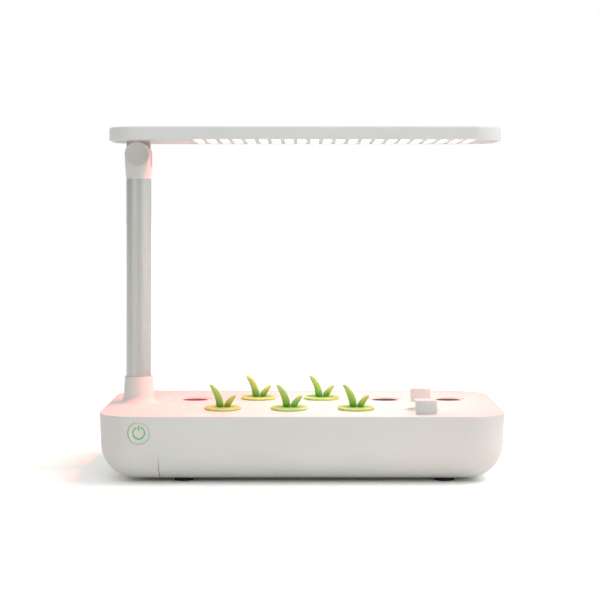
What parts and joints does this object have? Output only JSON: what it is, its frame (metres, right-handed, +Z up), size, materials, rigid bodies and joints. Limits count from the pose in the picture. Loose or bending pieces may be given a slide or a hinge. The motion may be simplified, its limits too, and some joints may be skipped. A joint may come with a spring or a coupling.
{
  "type": "countertop hydroponic garden",
  "caption": "Tabletop hydroponic planter: rounded water tank with a planting deck, sprout caps and fill port, and a slotted grow lamp hinged on a pole.",
  "frame": {"origin": "middle of the overall length and depth, on the plane of the feet", "axes": "+X along the base to the right seen from the button side, +Y to the back, +Z up"},
  "size_m": [0.3928, 0.215, 0.342],
  "materials": {
    "base_plastic": "moulded satin white",
    "head_plastic": "moulded satin white",
    "lamp_plastic": "moulded satin white",
    "screw_steel": "zinc plated",
    "washer_nylon": "nylon",
    "cap_silicone": "moulded silicone, green below to lime above",
    "foot_rubber": "matt",
    "socket_plastic": "glass filled nylon",
    "pole_aluminium": "satin anodised",
    "lead_sheath": "white sheath",
    "board_laminate": "solder mask",
    "switch_plastic": "moulded",
    "plunger_plastic": "moulded",
    "inlet_plastic": "moulded black",
    "pump_plastic": "moulded black",
    "cup_rubber": "matt",
    "gland_rubber": "matt",
    "symbol_light": "lit light guide",
    "diffuser_plastic": "opal, lit from behind",
    "led_board_aluminium": "white coated",
    "led_phosphor": "lit",
    "bracket_aluminium": "die cast"
  },
  "bodies": {
    "base": {"control_housing": "base_plastic", "water_tank": "base_plastic", "joining_screws": "screw_steel", "rubber_feet": "foot_rubber", "pole_cover": "base_plastic", "pole_cover_screws": "screw_steel", "pole_socket": "socket_plastic", "pole_socket_screws": "screw_steel", "pole_tube": "pole_aluminium", "lamp_lead": "lead_sheath", "pole_head": "head_plastic", "hinge_pin": "screw_steel", "hinge_nut": "screw_steel", "friction_washer_front": "washer_nylon", "friction_washer_rear": "washer_nylon", "hinge_cover_front": "head_plastic", "hinge_cover_rear": "head_plastic", "control_board": "board_laminate", "board_screws": "screw_steel", "button_switch": "switch_plastic", "power_inlet": "inlet_plastic", "water_pump": "pump_plastic", "pump_suction_cups": "cup_rubber", "pump_lead_gland": "gland_rubber"},
    "deck": {"planting_deck": "base_plastic", "fill_port_ring": "base_plastic", "front_lift_tab": "base_plastic", "back_lift_tab": "base_plastic"},
    "cap_1": {"sprout_cap_1": "cap_silicone"},
    "cap_2": {"sprout_cap_2": "cap_silicone"},
    "cap_3": {"sprout_cap_3": "cap_silicone"},
    "cap_4": {"sprout_cap_4": "cap_silicone"},
    "cap_5": {"sprout_cap_5": "cap_silicone"},
    "button": {"power_button": "base_plastic", "power_symbol": "symbol_light", "switch_plunger": "plunger_plastic"},
    "lamp": {"lamp_top_cover": "lamp_plastic", "lamp_grille": "lamp_plastic", "diffuser": "diffuser_plastic", "led_board": "led_board_aluminium", "led_board_screws": "screw_steel", "led_chips": "led_phosphor", "lamp_bracket": "bracket_aluminium", "lamp_bracket_screws": "screw_steel"}
  },
  "joints": [
    {"name": "lamp_tilt", "type": "hinge", "parent": "base", "child": "lamp", "pos_m": [-0.16642, 0, 0.3162], "axis": [0, -1, 0], "range_deg": [0, 80]},
    {"name": "deck_lift", "type": "slide", "parent": "base", "child": "deck", "axis": [0, 0, 1], "range_m": [0, 0.06]},
    {"name": "button_press", "type": "slide", "parent": "base", "child": "button", "axis": [0, 0.999, 0.0436], "range_m": [0, 0.0008], "stiffness_N_per_m": 2500},
    {"name": "cap_1_lift", "type": "slide", "parent": "deck", "child": "cap_1", "axis": [0, 0, 1], "range_m": [0, 0.03]},
    {"name": "cap_2_lift", "type": "slide", "parent": "deck", "child": "cap_2", "axis": [0, 0, 1], "range_m": [0, 0.03]},
    {"name": "cap_3_lift", "type": "slide", "parent": "deck", "child": "cap_3", "axis": [0, 0, 1], "range_m": [0, 0.03]},
    {"name": "cap_4_lift", "type": "slide", "parent": "deck", "child": "cap_4", "axis": [0, 0, 1], "range_m": [0, 0.03]},
    {"name": "cap_5_lift", "type": "slide", "parent": "deck", "child": "cap_5", "axis": [0, 0, 1], "range_m": [0, 0.03]}
  ]
}
